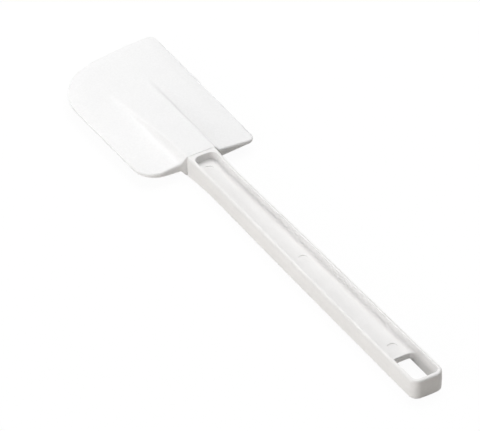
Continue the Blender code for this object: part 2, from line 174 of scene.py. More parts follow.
def middle(part):
    """The middle point of an edge or a face."""
    if isinstance(part, bmesh.types.BMFace):
        return part.calc_center_median()
    return (part.verts[0].co + part.verts[1].co) / 2


def lowest(part, axis):
    """The smallest coordinate of a part's points along an axis."""
    return min(vertex.co[axis] for vertex in part.verts)


def highest(part, axis):
    """The largest coordinate of a part's points along an axis."""
    return max(vertex.co[axis] for vertex in part.verts)


def extent(part, axis):
    """How far a part reaches along an axis."""
    return highest(part, axis) - lowest(part, axis)


def is_at(part, height):
    """Whether a part lies level at one height above the parting plane."""
    return all(abs(vertex.co.z - height) < MERGE for vertex in part.verts)


def scale_picked(value, centre=CENTRE):
    bpy.ops.transform.resize(value=value, center_override=centre)


def move_picked(distance):
    """Moves what is selected along the spatula."""
    bpy.ops.transform.translate(value=(distance, 0.0, 0.0))


def flatten_picked(axis, place):
    """Brings what is selected to one place along an axis."""
    value, centre = [1.0, 1.0, 1.0], [0.0, 0.0, 0.0]
    value[axis], centre[axis] = 0.0, place
    scale_picked(value, centre)


def cut_picked(axis, place):
    """Cuts the selected faces square to an axis and leaves the cut selected."""
    point, normal = [0.0, 0.0, 0.0], [0.0, 0.0, 0.0]
    point[axis], normal[axis] = place, 1.0
    bpy.ops.mesh.bisect(plane_co=point, plane_no=normal)


def delete_faces(test):
    """Deletes the faces that the test keeps, and returns how many."""
    count = pick("FACE", test)
    bpy.ops.mesh.delete(type="FACE")
    return count


def bevel_picked(radius, segments, affect="EDGES"):
    bpy.ops.mesh.bevel(offset=radius, segments=segments, affect=affect)


def apply_modifier(item, kind, **settings):
    """Adds one modifier with its settings and applies it."""
    make_active(item)
    modifier = item.modifiers.new(kind.lower(), kind)
    for name, value in settings.items():
        setattr(modifier, name, value)
    bpy.ops.object.modifier_apply(modifier=modifier.name)


def cut_away(item, cutter):
    """Takes one object's shape out of another and removes the cutter."""
    apply_modifier(item, "BOOLEAN", operation="DIFFERENCE", object=cutter, solver="EXACT")
    bpy.data.objects.remove(cutter, do_unlink=True)


def shift_pairs(test, shift):
    """Moves the kept points along X, each by what its distance from the middle line gives."""
    mesh = edited_mesh()
    offsets = sorted({round(abs(vertex.co.y), 6) for vertex in mesh.verts if test(vertex)})
    for offset in offsets:
        pick("VERT", lambda vertex: test(vertex) and abs(abs(vertex.co.y) - offset) < MERGE)
        move_picked(shift(offset))
    return len(offsets)


def spread(first, last, count):
    """Evenly spaced values, both ends included."""
    return [first + (last - first) * i / (count - 1) for i in range(count)]


def between(first, last, share):
    """The value that lies a share of the way from the first to the last."""
    return first + (last - first) * share


def clamp(value):
    """The value, kept between 0 and 1."""
    return min(1.0, max(0.0, value))


def smooth_step(value):
    """A soft ramp from 0 to 1."""
    value = clamp(value)
    return value * value * (3.0 - 2.0 * value)


# %% [markdown]
# ## The handle's shape
# The handle is a slim bar, wider at the butt and flared a little where it meets the rubber.
# A wide channel runs along both faces, so that the moulding has the same wall everywhere and
# cools without sinking. What is left between the channels is a thin web, and the web stops
# short of the butt, which leaves the hanging hole.

# %% Handle sizes
NECK_WIDTH, HEEL_WIDTH, BUTT_WIDTH = 0.0172, 0.0190, 0.0202
NECK_THICKNESS, HEEL_THICKNESS, BUTT_THICKNESS = 0.0119, 0.0132, 0.0124
NECK_DISTANCE, BUTT_FLARE_LENGTH, BUTT_PAD_LENGTH = 0.0280, 0.0300, 0.0150
LINE_HEIGHT, LINE_PROUD = 0.00025, 0.00006
WALL_END_X = BUTT_X - LINE_PROUD
PAD_X = BUTT_X - BUTT_PAD_LENGTH
HANDLE_LENGTH = WALL_END_X - HANDLE_X
BUTT_CORNER_RADIUS, BUTT_BOW = 0.0048, 0.0006
RIM_WIDTH, BUTT_RIM_WIDTH, WEB_THICKNESS = 0.0020, 0.0025, 0.0040
SIDE_DRAFT, CHANNEL_DRAFT = tan(radians(1.5)), tan(radians(3.0))
HOLE_START_X = BUTT_X - 0.0271
HOLE_CORNER_RADIUS = 0.0045
SHAFT_START, SHAFT_END, SHAFT_STATIONS = 0.0200, 0.0012, 34
HEEL_STATIONS, HOLE_STATIONS = (0.0075, 0.0105, 0.0150), (0.0054, 0.0088)
PAD_STATIONS = (0.0, 0.0060)


def heel_flare(x):
    """How much of the flare toward the blade is left at a place along the handle."""
    return max(0.0, 1.0 - (x - HANDLE_X) / NECK_DISTANCE) ** 2


def handle_half_width(x):
    """Half the handle's width: flared at the heel, slim at the neck, wider at the butt."""
    along = max(0.0, (x - HANDLE_X - NECK_DISTANCE) / (HANDLE_LENGTH - NECK_DISTANCE))
    width = between(NECK_WIDTH, BUTT_WIDTH, 1.0 - (1.0 - along) ** 2)
    return (width + (HEEL_WIDTH - NECK_WIDTH) * heel_flare(x)) / 2


def handle_half_thickness(x):
    """Half the handle's thickness, with a low flare at each end and a level pad at the butt."""
    butt_flare = smooth_step((x - PAD_X + BUTT_FLARE_LENGTH) / BUTT_FLARE_LENGTH)
    thickness = between(NECK_THICKNESS, BUTT_THICKNESS, butt_flare)
    return (thickness + (HEEL_THICKNESS - NECK_THICKNESS) * heel_flare(x)) / 2


stations = [HANDLE_X + distance for distance in HEEL_STATIONS]
stations += spread(HANDLE_X + SHAFT_START, HOLE_START_X - SHAFT_END, SHAFT_STATIONS)
stations += [HOLE_START_X + distance for distance in HOLE_STATIONS]
stations += [PAD_X + distance for distance in PAD_STATIONS]
neck_width = 2 * handle_half_width(HANDLE_X + NECK_DISTANCE)
print(len(stations), "stations, neck", round(1000 * neck_width, 1), "mm wide")

# %% [markdown]
# ## The handle's plan
# It could be a cube scaled down, but the rounded butt is easier to get right in plan. So the
# handle starts as a flat plane on the parting plane. It is cut at each station, each cut is
# given its own width, and the two butt corners are rounded while they are flat.

# %% Lay out the plan
BUTT_CORNER_STEPS, BUTT_CUTS = 9, 7
bpy.ops.mesh.primitive_plane_add(size=1.0, location=CENTRE)
handle = bpy.context.object
handle.name = "handle_moulding"
start_editing(handle)
pick_all()
scale_picked((HANDLE_LENGTH, BUTT_WIDTH, 1.0))
move_picked((HANDLE_X + WALL_END_X) / 2)
for x in stations:
    pick_all()
    cut_picked(X, x)
for x in [HANDLE_X] + stations:
    pick_at(x)
    scale_picked((1.0, 2 * handle_half_width(x) / BUTT_WIDTH, 1.0))
pick_at(WALL_END_X)
bevel_picked(BUTT_CORNER_RADIUS, BUTT_CORNER_STEPS, "VERTICES")
print(pick("EDGE", lambda edge: lowest(edge, X) > WALL_END_X - MERGE), "edge ends the butt")
bpy.ops.mesh.subdivide(number_cuts=BUTT_CUTS)

# %% [markdown]
# The end of the butt is not quite flat: it bows out a little in the middle. Each pair of
# points is drawn back by the square of its distance from the middle.

# %% Bow the butt
last_station = stations[-1] + MERGE
pairs = shift_pairs(lambda vertex: vertex.co.x > last_station,
                    lambda offset: -BUTT_BOW * (offset / (BUTT_WIDTH / 2)) ** 2)
print(pairs, "pairs of points along the butt")

# %% [markdown]
# ## Walls, rim and channel
# One tool makes all three: inset with a depth. The first inset lifts the plan to the top face
# and leaves walls that lean by the mould's draft. The second makes the rim. The third sinks
# the channel, again with draft. The edges of each step are marked with a bevel weight as
# soon as they exist, while the selection still knows them.

# %% Raise the walls
OUTER_WEIGHT, RIM_WEIGHT, FLOOR_WEIGHT, END_FOOT_WEIGHT = 0.75, 0.22, 0.68, 0.25
HEEL_TOP_WEIGHT, HEEL_SIDE_WEIGHT = 0.24, 0.70
ROUND_WIDTH = 0.0017
HALF_THICKNESS = BUTT_THICKNESS / 2
STATION_REACH = 0.0003
LEVEL, DEAD_LEVEL = 0.9, 0.999
near_heel = HANDLE_X + 0.001


def weigh_picked(weight):
    """Gives the selected edges a new bevel weight."""
    mesh = edited_mesh()
    layers = mesh.edges.layers.float
    layer = layers.get("bevel_weight_edge") or layers.new("bevel_weight_edge")
    for edge in mesh.edges:
        if edge.select:
            edge[layer] = weight
    bmesh.update_edit_mesh(bpy.context.edit_object.data)


def weigh_border(weight):
    """Gives a bevel weight to the border of the selected faces."""
    bpy.ops.mesh.region_to_loop()
    weigh_picked(weight)


def inset_picked(inward, depth):
    """Insets the selected faces as one region and keeps the inner part selected."""
    bpy.ops.mesh.inset(thickness=inward, depth=depth)


def is_level(face):
    return face.normal.z > LEVEL


bpy.ops.mesh.select_mode(type="FACE")
pick_all()
inset_picked(HALF_THICKNESS * SIDE_DRAFT, HALF_THICKNESS)
weigh_border(OUTER_WEIGHT)
pick("VERT", lambda vertex: vertex.co.x < near_heel)
flatten_picked(X, HANDLE_X)
pick("EDGE", lambda edge: highest(edge, X) < near_heel and middle(edge).z > MERGE)
weigh_picked(HEEL_TOP_WEIGHT)
pick("EDGE", lambda edge: highest(edge, X) < near_heel and extent(edge, Z) > HALF_THICKNESS / 2)
weigh_picked(HEEL_SIDE_WEIGHT)
for x in [HANDLE_X] + stations[:-1]:
    pick("VERT", lambda vertex: abs(vertex.co.x - x) < STATION_REACH and vertex.co.z > MERGE)
    scale_picked((1.0, 1.0, handle_half_thickness(x) / HALF_THICKNESS))
print(len(edited_mesh().faces), "faces")

# %% Make the rim and sink the channel
CHANNEL_END_WALL = 0.0025
CHANNEL_CORNER_RADIUS, CHANNEL_CORNER_STEPS = 0.0044, 8
CHANNEL_END_SLOPE = 0.0001
CHANNEL_DEPTH = HALF_THICKNESS - WEB_THICKNESS / 2
FLOOR_Z = WEB_THICKNESS / 2
LIP_REACH = 0.0002
channel_start = HANDLE_X + CHANNEL_END_WALL
channel_end_zone = stations[0] - 0.001
pick("FACE", is_level)
inset_picked(RIM_WIDTH, 0.0)
narrow_picked(lambda vertex: vertex.co.x > last_station)
move_picked(RIM_WIDTH - BUTT_RIM_WIDTH)
pick("EDGE", lambda edge: middle(edge).x < HANDLE_X + RIM_WIDTH and middle(edge).z > FLOOR_Z
     and min(extent(edge, X), extent(edge, Y)) > RIM_WIDTH / 2)
bpy.ops.mesh.dissolve_edges(use_verts=False)
pick_at(HANDLE_X + RIM_WIDTH, STATION_REACH)
move_picked(CHANNEL_END_WALL - RIM_WIDTH)


def in_channel(point):
    """Whether a point lies inside the rim's lip."""
    inside = handle_half_width(point.x) - RIM_WIDTH - HALF_THICKNESS * SIDE_DRAFT + LIP_REACH
    return channel_start - MERGE < point.x < BUTT_X - BUTT_RIM_WIDTH and abs(point.y) < inside


pick("FACE", lambda face: is_level(face) and all(in_channel(vertex.co) for vertex in face.verts))
inset_picked(CHANNEL_DEPTH * CHANNEL_DRAFT, -CHANNEL_DEPTH)
pick("VERT", lambda vertex: MERGE < vertex.co.z < HALF_THICKNESS / 2)
flatten_picked(Z, PARTING_Z + FLOOR_Z)
pick("VERT", lambda vertex: abs(vertex.co.z - FLOOR_Z) < MERGE and vertex.co.x < channel_end_zone)
move_picked(CHANNEL_END_SLOPE)
print(pick("EDGE", lambda edge: middle(edge).x < channel_end_zone and in_channel(middle(edge))
           and FLOOR_Z + MERGE < middle(edge).z and extent(edge, Z) > CHANNEL_DEPTH / 2),
      "upright edges at the channel's end")
bevel_picked(CHANNEL_CORNER_RADIUS, CHANNEL_CORNER_STEPS)

# %% Mark the lip and the foot of the channel wall
LOWEST_RIM_Z = NECK_THICKNESS / 2 - 0.001
CREASE = radians(40)


def is_crease(edge):
    """Whether two faces meet at a clear angle along an edge."""
    return edge.calc_face_angle(0.0) > CREASE


pick("FACE", lambda face: in_channel(middle(face)) and MERGE < middle(face).z < LOWEST_RIM_Z)
weigh_border(RIM_WEIGHT)
print(pick("FACE", lambda face: is_at(face, FLOOR_Z)), "floor faces")
weigh_border(FLOOR_WEIGHT)
pick("EDGE", lambda edge: is_at(edge, FLOOR_Z) and in_channel(middle(edge))
     and highest(edge, X) < channel_end_zone and is_crease(edge))
weigh_picked(END_FOOT_WEIGHT)

# %% [markdown]
# ## Round every moulded edge
# A mould has no knife edges. One Bevel modifier limited by weight rounds the outer edges, the
# lip of the rim and the foot of the channel wall, each by its own share of one width.

# %% Delete the underside and bevel by weight
delete_faces(lambda face: is_at(face, 0.0))
stop_editing()
apply_modifier(handle, "BEVEL", width=ROUND_WIDTH, segments=4, limit_method="WEIGHT",
               use_clamp_overlap=False)
print(len(handle.data.polygons), "faces after rounding")

# %% [markdown]
# ## The hanging hole
# A Boolean could punch the hole, but it would leave a ledge around it. In the real mould the
# web simply stops, and the channel walls of both faces run on until they meet. So the floor
# is cut across, the cut is curved into the walls, the floor beyond it is deleted, and the
# open edge is extruded down to the parting plane.

# %% Open the hanging hole
FLOOR_RADIUS = FLOOR_WEIGHT * ROUND_WIDTH
FILLET_TOP_Z = FLOOR_Z + FLOOR_RADIUS + 0.0001
WEB_EDGE_RADIUS, WEB_EDGE_STEPS, WEB_EDGE_REACH = 0.0005, 3, 0.6
HOLE_CUTS = (0.0, 0.0033, 0.0042, 0.0050, 0.0056, 0.0061, 0.0065)
WALL_REACH = 0.0004
hole_wall = handle_half_width(HOLE_START_X) - RIM_WIDTH
hole_wall -= (CHANNEL_DEPTH - FLOOR_RADIUS) * CHANNEL_DRAFT


def is_web(face):
    """A face of the channel's floor or of the fillet at its foot."""
    return FLOOR_Z - MERGE < lowest(face, Z) and highest(face, Z) < FILLET_TOP_Z


def hole_curve(offset):
    """How far the web reaches past the cut at a distance from the middle line."""
    past = max(0.0, offset - hole_wall + HOLE_CORNER_RADIUS)
    return HOLE_CORNER_RADIUS - sqrt(max(0.0, HOLE_CORNER_RADIUS ** 2 - past ** 2))


def on_straight_cut(vertex):
    """A point of the straight cut, still to be curved."""
    return (abs(vertex.co.x - HOLE_START_X) < MERGE < vertex.co.z < FILLET_TOP_Z
            and abs(vertex.co.y) < hole_wall + WALL_REACH)


def past_the_web(face):
    """A floor or fillet face beyond the curved cut."""
    edge_x = HOLE_START_X + hole_curve(abs(middle(face).y))
    return is_web(face) and middle(face).x > edge_x + MERGE


start_editing(handle)
for y in HOLE_CUTS:
    for side in (-1, 1):
        pick("FACE", lambda face: is_web(face) and face.normal.z > DEAD_LEVEL)
        cut_picked(Y, side * y)
pick("FACE", is_web)
cut_picked(X, HOLE_START_X)
print(shift_pairs(on_straight_cut, hole_curve), "pairs of points along the end of the web")
print(delete_faces(past_the_web), "faces make way for the hole")
pick("EDGE", lambda edge: edge.is_boundary and middle(edge).z > MERGE)
bpy.ops.mesh.extrude_edges_move(TRANSFORM_OT_translate={"value": (0.0, 0.0, -FLOOR_Z / 2)})
hole_middle = ((HOLE_START_X + BUTT_X) / 2, 0.0, PARTING_Z)
lean = 1.0 - (FLOOR_Z + FLOOR_RADIUS) * CHANNEL_DRAFT / hole_wall
scale_picked((lean, lean, 0.0), hole_middle)

# %% Round the end of the web
def on_web_end(edge):
    """An edge between the web's upper face and the wall that now ends it."""
    place = middle(edge)
    curve = HOLE_START_X + hole_curve(abs(place.y))
    flat = FLOOR_Z - MERGE < place.z < FLOOR_Z + WEB_EDGE_REACH * FLOOR_RADIUS
    return flat and abs(place.x - curve) < STATION_REACH and is_crease(edge)


print(pick("EDGE", on_web_end), "edges along the end of the web")
bevel_picked(WEB_EDGE_RADIUS, WEB_EDGE_STEPS)

# %% [markdown]
# ## The tang
# The tang is the tongue that the rubber grips. It could be a second block pushed into the
# handle, but it is moulded in one with it, so it is drawn on the end face and extruded from
# it. It tapers to let the blade slide on, and shallow notches give the rubber a hold.

# %% Extrude the tang
TANG_LENGTH = 0.0553
TANG_HALF_WIDTH, TANG_END_HALF_WIDTH = 0.0060, 0.0050
TANG_HALF, TANG_END_HALF = 0.0023, 0.0017
TANG_EDGE_RADIUS, TANG_EDGE_STEPS = 0.0008, 3
NOTCH_LENGTH, NOTCH_SHRINK = 0.0016, 0.90
NOTCHES = spread(HANDLE_X - 0.0140, HANDLE_X - 0.0440, 4)


def on_end_face(face):
    return face.normal.x < -LEVEL and abs(middle(face).x - HANDLE_X) < MERGE


pick("FACE", on_end_face)
cut_picked(Z, PARTING_Z + TANG_HALF)
for side in (-1, 1):
    pick("FACE", lambda face: on_end_face(face) and middle(face).z < TANG_HALF)
    cut_picked(Y, side * TANG_HALF_WIDTH)
print(pick("FACE", lambda face: on_end_face(face) and middle(face).z < TANG_HALF
           and abs(middle(face).y) < TANG_HALF_WIDTH / 2), "face becomes the tang")
bpy.ops.mesh.extrude_region_move(TRANSFORM_OT_translate={"value": (-TANG_LENGTH, 0.0, 0.0)})
scale_picked((1.0, TANG_END_HALF_WIDTH / TANG_HALF_WIDTH, TANG_END_HALF / TANG_HALF))
delete_faces(lambda face: is_at(face, 0.0))
pick("EDGE", lambda edge: lowest(edge, X) < HANDLE_X - MERGE and is_crease(edge))
bevel_picked(TANG_EDGE_RADIUS, TANG_EDGE_STEPS)
for x in NOTCHES:
    for place in (x - NOTCH_LENGTH / 2, x, x + NOTCH_LENGTH / 2):
        pick("FACE", lambda face: middle(face).x < HANDLE_X - MERGE)
        cut_picked(X, place)
    pick_at(x)
    scale_picked((1.0, NOTCH_SHRINK, NOTCH_SHRINK))
stop_editing()
print(len(handle.data.polygons), "faces in the upper half")

# %% [markdown]
# ## Both halves, and the marks of the ejector pins
# A Mirror modifier makes the lower half. Where the two halves of the mould met, the wall
# keeps a fine raised line. On the channel's floor the pins that pushed the handle out of the
# mould left shallow round marks, a little askew, so that only one side of each shows as a
# crescent. They are real dents, cut with a tilted cylinder.

# %% Mirror the handle and dent it
start_editing(handle)
pick("FACE", lambda face: lowest(face, Z) < MERGE and middle(face).x > HANDLE_X + MERGE)
cut_picked(Z, PARTING_Z + LINE_HEIGHT)
pick("VERT", lambda vertex: vertex.co.z < MERGE and vertex.co.x > near_heel)
bpy.ops.transform.shrink_fatten(value=LINE_PROUD)
pick("VERT", lambda vertex: vertex.co.z < LINE_HEIGHT / 2)
flatten_picked(Z, PARTING_Z)
stop_editing()
apply_modifier(handle, "MIRROR", use_axis=(False, False, True), merge_threshold=MERGE)

PIN_MARKS = [(0.1352, 0.0001, 0.00040), (0.0475, 0.0002, 0.00022), (-0.0465, -0.0011, 0.00022)]
PIN_RADIUS, PIN_TILT, PIN_SIDES = 0.0028, 0.050, 40
for x, y, depth in PIN_MARKS:
    for side in (1, -1):
        height = PARTING_Z + side * (FLOOR_Z + PIN_RADIUS - depth / 2)
        tilt = Euler((0.0, -side * PIN_TILT, 0.0))
        bpy.ops.mesh.primitive_cylinder_add(vertices=PIN_SIDES, radius=PIN_RADIUS, rotation=tilt,
                                            depth=2 * PIN_RADIUS, location=(x, y, height))
        cut_away(handle, bpy.context.object)
print(len(handle.data.polygons), "faces in the whole handle")

# %% [markdown]
# ## The blade's outline
# Seen from above the blade is nearly a rectangle. One tip corner has a large radius, to
# follow the wall of a round bowl, and the other is almost square, for corners of a tin. The
# tip edge is slightly bowed. Small functions give the outline: where the long edges are at
# a distance from the heel, and where the two ends are at a place across.

# %% Blade outline
BLADE_HEEL_WIDTH, BLADE_TIP_WIDTH, NEAR_REACH = 0.0718, 0.0738, 0.0359
HEEL_SMALL_RADIUS, HEEL_LARGE_RADIUS = 0.0045, 0.0128
TIP_SMALL_RADIUS, TIP_LARGE_RADIUS = 0.0024, 0.0362
CROWN_RADIUS, CROWN_OFFSET = 0.1740, 0.0333


def reach(side, distance):
    """From the axis to the near (-1) or the far (1) edge, which widens toward the tip."""
    if side < 0:
        return NEAR_REACH
    share = min(1.0, distance / (BLADE_LENGTH - TIP_LARGE_RADIUS))
    return between(BLADE_HEEL_WIDTH, BLADE_TIP_WIDTH, share) - NEAR_REACH


def crown(y):
    """Distance from the heel to the slightly bowed tip edge."""
    return BLADE_LENGTH - CROWN_RADIUS + sqrt(CROWN_RADIUS ** 2 - (y - CROWN_OFFSET) ** 2)


def arc(radius, along):
    """Height of a quarter circle at a distance from its start, where it stands upright."""
    along = min(radius, max(0.0, along))
    return sqrt(radius ** 2 - (radius - along) ** 2)


large_y = TIP_LARGE_RADIUS - NEAR_REACH
inner_crown = CROWN_RADIUS - TIP_LARGE_RADIUS
large_distance = BLADE_LENGTH - CROWN_RADIUS
large_distance += sqrt(inner_crown ** 2 - (large_y - CROWN_OFFSET) ** 2)
small_y = reach(1, BLADE_LENGTH) - TIP_SMALL_RADIUS
small_distance = crown(small_y) - TIP_SMALL_RADIUS


def edge_y(side, distance):
    """Where the near (-1) or far (1) edge is at a distance from the heel."""
    half = reach(side, distance)
    heel_radius, tip_radius, tip_start = HEEL_SMALL_RADIUS, TIP_SMALL_RADIUS, small_distance
    if side < 0:
        heel_radius, tip_radius, tip_start = HEEL_LARGE_RADIUS, TIP_LARGE_RADIUS, large_distance
    half -= heel_radius - arc(heel_radius, distance)
    half -= tip_radius - arc(tip_radius, tip_start + tip_radius - distance)
    return side * half


def heel_end(y):
    """How far the heel's two rounded corners stand back at a place across."""
    side, radius = (-1, HEEL_LARGE_RADIUS) if y < 0 else (1, HEEL_SMALL_RADIUS)
    return radius - arc(radius, reach(side, 0.0) - abs(y))


def tip_end(y):
    """How far the tip reaches at a place across, over both rounded corners."""
    if y > small_y:
        return small_distance + sqrt(max(0.0, TIP_SMALL_RADIUS ** 2 - (y - small_y) ** 2))
    lean = (CROWN_OFFSET - large_y) / inner_crown
    if y < large_y - TIP_LARGE_RADIUS * lean:
        return large_distance + sqrt(max(0.0, TIP_LARGE_RADIUS ** 2 - (y - large_y) ** 2))
    return crown(y)


print("large corner centred", round(1000 * large_distance, 1), "mm from the heel and",
      round(1000 * large_y, 1), "mm across")

# %% [markdown]
# ## The blade's thickness
# A hub down the middle hides the tang. It is level over the first stretch, then slopes down
# and fades into the wings. The wings thin out toward the tip and toward the free edges,
# where a bevelled band ends in a thin wiping edge. Sharp switches between these slopes would
# look folded, so each is eased with a soft maximum.

# %% Blade thickness
HUB_HALF_WIDTH, HUB_TIP_HALF_WIDTH = 0.0090, 0.0118
HUB_HALF, HUB_FLAT_LENGTH, HUB_LENGTH = 0.0066, 0.0200, 0.0780
HUB_HEEL_FILLET, HUB_FILLET = 0.0040, 0.0030
WING_ROOT_HALF, WING_MIDDLE_HALF, WING_TIP_HALF = 0.0031, 0.0020, 0.0013
WING_HEEL_HALF, WING_SHOULDER_HALF = 0.0010, 0.0011
BLADE_EDGE_HALF, BEVEL_WIDTH, BEVEL_LENGTH = 0.0006, 0.0060, 0.0250
RIM_RADIUS, HEEL_RADIUS, HUB_END_RADIUS = 0.00045, 0.0012, 0.0003
HUB_EDGE_SOFTNESS, HUB_END_SOFTNESS = 0.14, 0.00016
BEVEL_SOFTNESS, FLANK_ROUNDING, LARGEST_ROUNDING = 0.14, 1.2, 0.8
OUTLINE_STEPS = 60


def soft_max(a, b, softness):
    """The larger of two values, rounded where they meet."""
    return (a + b + sqrt((a - b) ** 2 + softness ** 2)) / 2


def outline_points():
    """Points all along the free edge, from one heel corner round the tip to the other."""
    corners = [(180, HEEL_LARGE_RADIUS, HEEL_LARGE_RADIUS, HEEL_LARGE_RADIUS - NEAR_REACH),
               (-90, TIP_LARGE_RADIUS, large_distance, large_y),
               (0, TIP_SMALL_RADIUS, small_distance, small_y),
               (90, HEEL_SMALL_RADIUS, HEEL_SMALL_RADIUS, reach(1, 0.0) - HEEL_SMALL_RADIUS)]
    points = []
    for start, radius, distance, y in corners:
        if radius == TIP_SMALL_RADIUS:
            points += [(tip_end(v), v) for v in spread(large_y, small_y, OUTLINE_STEPS)[1:]]
        for angle in spread(radians(start), radians(start + 90), OUTLINE_STEPS // 4):
            spot = (distance + radius * cos(angle), y + radius * sin(angle))
            if radius != TIP_LARGE_RADIUS or spot[0] <= tip_end(spot[1]) + MERGE:
                points.append(spot)
    return points


free_edge = outline_points()


def edge_distance(distance, y):
    """Shortest way from a point of the plan to the free edge."""
    best = BLADE_LENGTH
    for a, b in zip(free_edge, free_edge[1:]):
        dx, dy = b[0] - a[0], b[1] - a[1]
        length = dx * dx + dy * dy
        if length > 0.0:
            share = clamp(((distance - a[0]) * dx + (y - a[1]) * dy) / length)
            best = min(best, hypot(distance - a[0] - dx * share, y - a[1] - dy * share))
    return best


def hub_half_width(distance):
    """Half the width of the hub's top, which widens toward the tip."""
    return between(HUB_HALF_WIDTH, HUB_TIP_HALF_WIDTH, min(1.0, distance / HUB_LENGTH))


def hub_fillet(distance):
    """How far out the hub's foot reaches: furthest at the heel."""
    return between(HUB_HEEL_FILLET, HUB_FILLET, min(1.0, distance / HUB_FLAT_LENGTH))


def hub_foot(distance, y):
    """How much of the hub is left at a place: all on its top, none past its foot."""
    past = (abs(y) - hub_half_width(distance)) / hub_fillet(distance)
    left = max(0.0, 1.0 - soft_max(past, 0.0, HUB_EDGE_SOFTNESS))
    return left * left * (1.0 + FLANK_ROUNDING * (1.0 - left))


def bevel_depth(distance):
    """How much there is of the band along the edge: none at the heel."""
    return min(1.0, distance / BEVEL_LENGTH)


def wing_half_thickness(distance, y):
    """Half the thickness of a wing before its edge is bevelled."""
    if distance < HUB_LENGTH:
        root = between(WING_ROOT_HALF, WING_MIDDLE_HALF, distance / HUB_LENGTH)
    else:
        past = (distance - HUB_LENGTH) / (BLADE_LENGTH - HUB_LENGTH)
        root = between(WING_MIDDLE_HALF, WING_TIP_HALF, past)
    inner = hub_half_width(distance)
    share = max(0.0, (abs(y) - inner) / (reach(-1 if y < 0 else 1, distance) - inner))
    shoulder = between(WING_HEEL_HALF, WING_SHOULDER_HALF, bevel_depth(distance))
    return between(root, shoulder, min(1.0, share))


def blade_half_thickness(distance, y):
    """Height of the blade's face above the parting plane, with its edge rounded over."""
    edge = edge_distance(distance, y)
    bevel = soft_max(1.0 - edge / BEVEL_WIDTH, 0.0, BEVEL_SOFTNESS)
    wing = wing_half_thickness(distance, y)
    wing -= (wing - BLADE_EDGE_HALF) * min(1.0, bevel) * bevel_depth(distance)
    sloped = max(0.0, (distance - HUB_FLAT_LENGTH) / (HUB_LENGTH - HUB_FLAT_LENGTH))
    hub = between(HUB_HALF, WING_MIDDLE_HALF, sloped)
    foot = hub_foot(distance, y)
    half = wing + soft_max(hub - wing, 0.0, HUB_END_SOFTNESS) * foot
    radius = between(RIM_RADIUS, HEEL_RADIUS, (1.0 - bevel_depth(distance)) ** 2)
    radius = min(LARGEST_ROUNDING * half, between(radius, HUB_END_RADIUS, foot))
    return half - radius + arc(radius, min(edge, distance))


hub_thickness = 2 * blade_half_thickness(HUB_FLAT_LENGTH / 2, 0.0)
print(len(free_edge), "points on the outline, hub", round(1000 * hub_thickness, 1), "mm thick")

# %% [markdown]
# ## Laying out the blade
# A blade like this could be carved from a block, but its faces are all gentle slopes, which
# a regular net of points follows best. So a grid primitive is laid between the four edges.
# Its columns gather at the two walls of the hub and at the bevelled band, and its rows at
# the heel and the tip. The four corners of the grid sit in the middle of the rounded corners.

# %% Lay the grid between the edges
HEEL_ROWS = [0.0, 0.0003, 0.0010, 0.0022, 0.0040, 0.0065, 0.0100]
TIP_ROWS = [0.9945, 0.9962, 0.9974, 0.9984, 0.9992, 0.9997, 1.0]
MIDDLE_ROW_COUNT, MIDDLE_CLOSENESS = 78, 0.35
HEEL_FADE, TIP_FADE, BAND_REACH = 12, 3, 1.12
diagonal = 1.0 - sqrt(0.5)
near_start, far_start = HEEL_LARGE_RADIUS * diagonal, HEEL_SMALL_RADIUS * diagonal
near_finish = large_distance + TIP_LARGE_RADIUS * sqrt(0.5)
far_finish = small_distance + TIP_SMALL_RADIUS * sqrt(0.5)


def gather(first, last, count, closeness):
    """Values from first to last, closer together toward both ends."""
    return [between(first, last, closeness * smooth_step(v) + (1.0 - closeness) * v)
            for v in spread(0.0, 1.0, count)]


middle_rows = gather(HEEL_ROWS[-1], TIP_ROWS[0], MIDDLE_ROW_COUNT, MIDDLE_CLOSENESS)
rows = HEEL_ROWS[:-1] + middle_rows + TIP_ROWS[1:]
ROW_COUNT = len(rows)
hub_columns = spread(0.0, 0.86, 6) + [0.94]
fillet_columns = [0.0, 0.05, 0.11, 0.18, 0.27, 0.38, 0.50, 0.64, 0.80]
wing_columns = spread(0.0, 1.0, 14)[:-1]
band_columns = [0.0, 0.06, 0.13, 0.22, 0.36, 0.54, 0.72, 0.85,
                0.915, 0.945, 0.967, 0.983, 0.993, 0.998, 1.0]


def across_places(distance, edge):
    """Places across one side of a row, from the middle line to its edge."""
    wall = hub_half_width(distance)
    foot = wall + hub_fillet(distance)
    band = abs(edge) - BAND_REACH * BEVEL_WIDTH
    strips = [(0.0, wall, hub_columns), (wall, foot, fillet_columns),
              (foot, band, wing_columns), (band, abs(edge), band_columns)]
    return [between(inner, outer, share) for inner, outer, columns in strips for share in columns]


def end_pull(end, near_d, far_d, y):
    """How far one end of the net has to move, at a place across, to lie on the outline."""
    first_y, last_y = edge_y(-1, near_d), edge_y(1, far_d)
    share = clamp((y - first_y) / (last_y - first_y))
    return end(between(first_y, last_y, share)) - between(near_d, far_d, share)


def lay_point(row, column, side):
    """The plan position (distance, y) of one grid point."""
    near_d, far_d = between(near_start, near_finish, row), between(far_start, far_finish, row)
    near_y, far_y = edge_y(-1, near_d), edge_y(1, far_d)
    middle_d = (near_d * far_y - far_d * near_y) / (far_y - near_y)
    y = side * across_places(middle_d, near_y if side < 0 else far_y)[column]
    distance = between(near_d, far_d, (y - near_y) / (far_y - near_y))
    distance += end_pull(tip_end, near_finish, far_finish, y) * row ** TIP_FADE
    distance += end_pull(heel_end, near_start, far_start, y) * (1.0 - row) ** HEEL_FADE
    return distance, y


